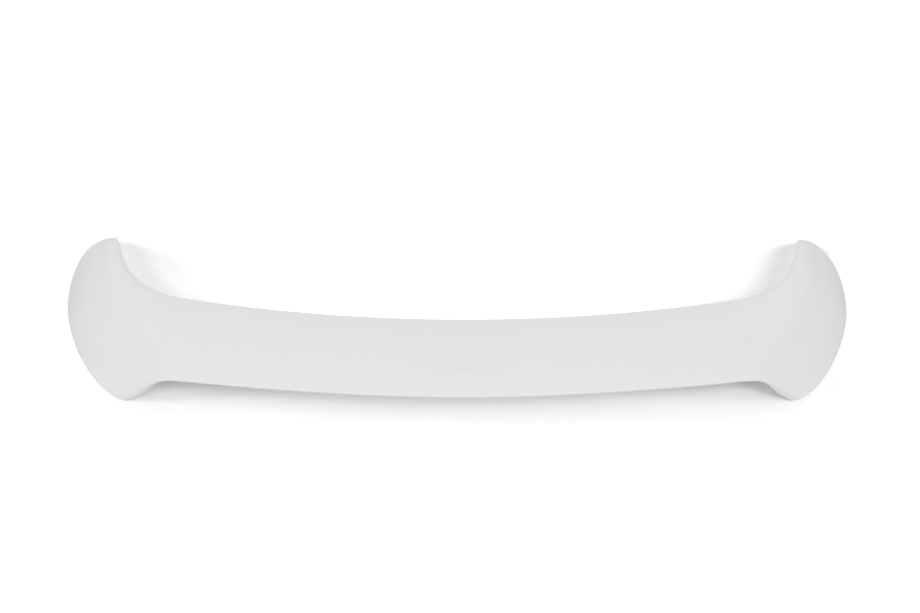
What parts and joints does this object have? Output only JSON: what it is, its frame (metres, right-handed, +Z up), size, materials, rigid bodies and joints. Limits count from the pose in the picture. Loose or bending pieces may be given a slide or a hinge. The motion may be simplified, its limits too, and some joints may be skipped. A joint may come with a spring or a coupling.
{
  "type": "car spoiler",
  "caption": "Raised car boot-lid spoiler: a bowed, gently arched blade on flared half-moon feet, hollow moulded, in bare pale primer.",
  "frame": {"origin": "centre of the bounding box on the plane that the feet stand on", "axes": "+X across the car to its right, +Y to the front of the car, +Z up from the boot lid"},
  "size_m": [1.3128, 0.357, 0.1079],
  "materials": {
    "primer": "satin grey-white primer on a moulded shell",
    "insert_brass": "turned brass, dull"
  },
  "bodies": {
    "root": {"spoiler_body": "primer", "threaded_inserts": "insert_brass"}
  },
  "joints": []
}
